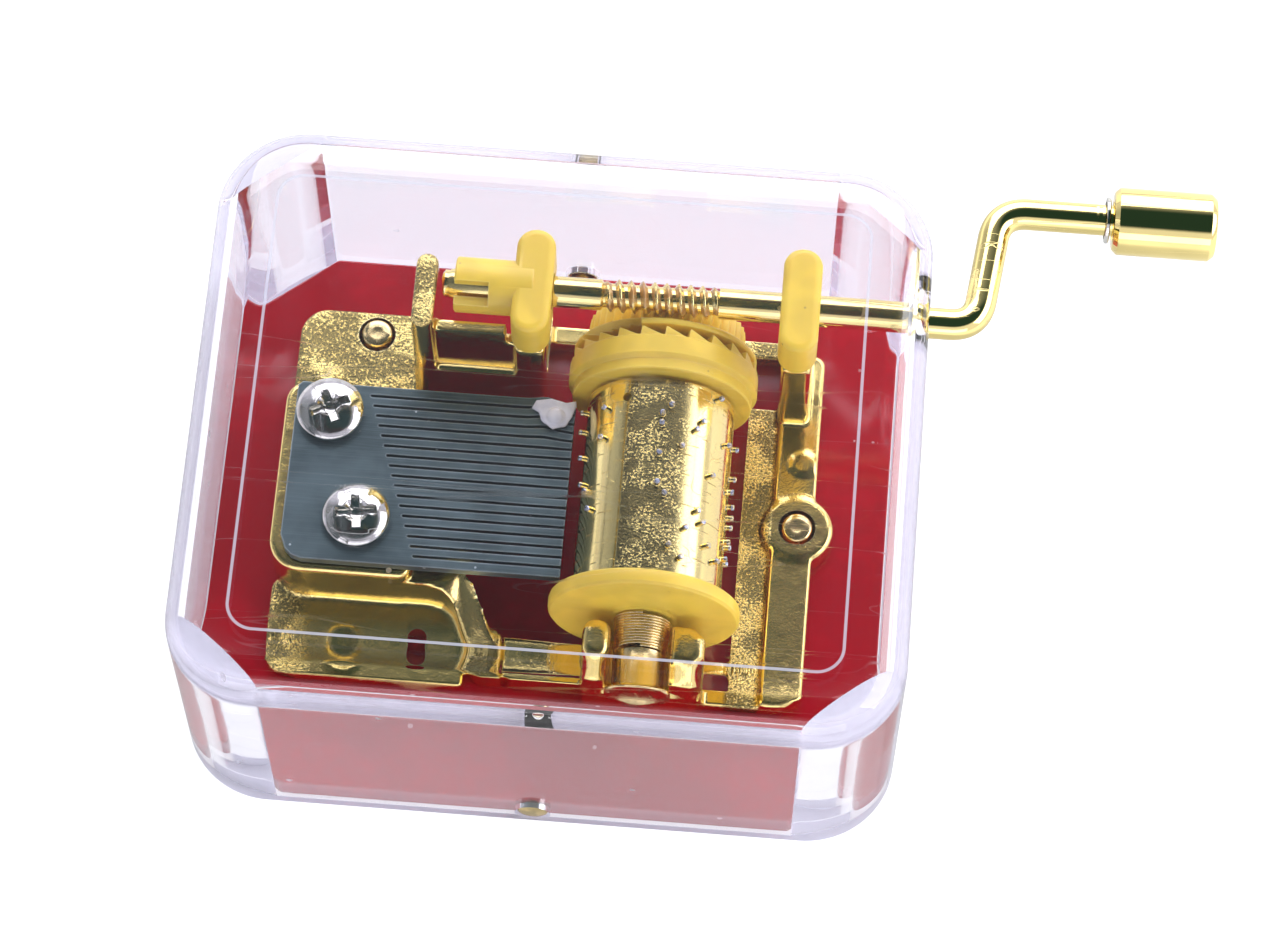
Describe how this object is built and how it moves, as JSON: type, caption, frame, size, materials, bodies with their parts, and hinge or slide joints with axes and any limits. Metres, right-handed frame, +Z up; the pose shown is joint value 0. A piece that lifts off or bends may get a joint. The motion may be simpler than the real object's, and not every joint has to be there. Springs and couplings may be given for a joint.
{
  "type": "hand crank music box",
  "caption": "Hand-cranked comb music box movement in a clear rectangular case on a red base plate, with a bent crank and turning knob.",
  "frame": {"origin": "middle of the underside of the base plate, on the surface the box stands on", "axes": "+X to the crank handle, +Y to the back, +Z up"},
  "size_m": [0.0893, 0.0572, 0.028],
  "materials": {
    "clear_plastic": "clear, polished",
    "red_plastic": "glossy moulded",
    "brass": "bright rolled",
    "gold_plate": "bright plated die casting",
    "gold_rod": "mirror plated",
    "comb_steel": "ground, blue-grey",
    "nickel": "bright nickel",
    "yellow_nylon": "satin moulded nylon",
    "white_film": "translucent film and glue"
  },
  "bodies": {
    "root": {"clear_lid": "clear_plastic", "base_plate": "red_plastic", "front_case_pin": "brass", "back_case_pin": "brass", "mounting_screw_left": "brass", "mounting_screw_right": "brass", "bed_frame": "gold_plate", "comb": "comb_steel", "comb_screw_rear": "nickel", "comb_screw_front": "nickel", "damper_film": "white_film", "left_bushing": "yellow_nylon", "right_bushing": "yellow_nylon", "front_bearing_bush": "brass"},
    "cylinder": {"cylinder_shell": "brass", "rear_end_cap": "yellow_nylon", "front_end_cap": "yellow_nylon", "worm_wheel": "yellow_nylon", "cylinder_arbor": "nickel", "thrust_spring": "brass"},
    "crank": {"crank_rod": "gold_rod", "knob_washer": "nickel"},
    "knob": {"crank_knob": "gold_rod"}
  },
  "joints": [
    {"name": "crank_spin", "type": "hinge", "parent": "root", "child": "crank", "pos_m": [0, 0.0153, 0.0204], "axis": [1, 0, 0], "continuous": true},
    {"name": "cylinder_spin", "type": "hinge", "parent": "root", "child": "cylinder", "pos_m": [0.0087, 0, 0.012], "axis": [0, 1, 0], "continuous": true},
    {"name": "knob_spin", "type": "hinge", "parent": "crank", "child": "knob", "pos_m": [0.05, 0.0268, 0.0204], "axis": [1, 0, 0], "continuous": true}
  ],
  "couplings": [
    {"joint": "cylinder_spin", "follows": "crank_spin", "ratio": -0.02381}
  ]
}
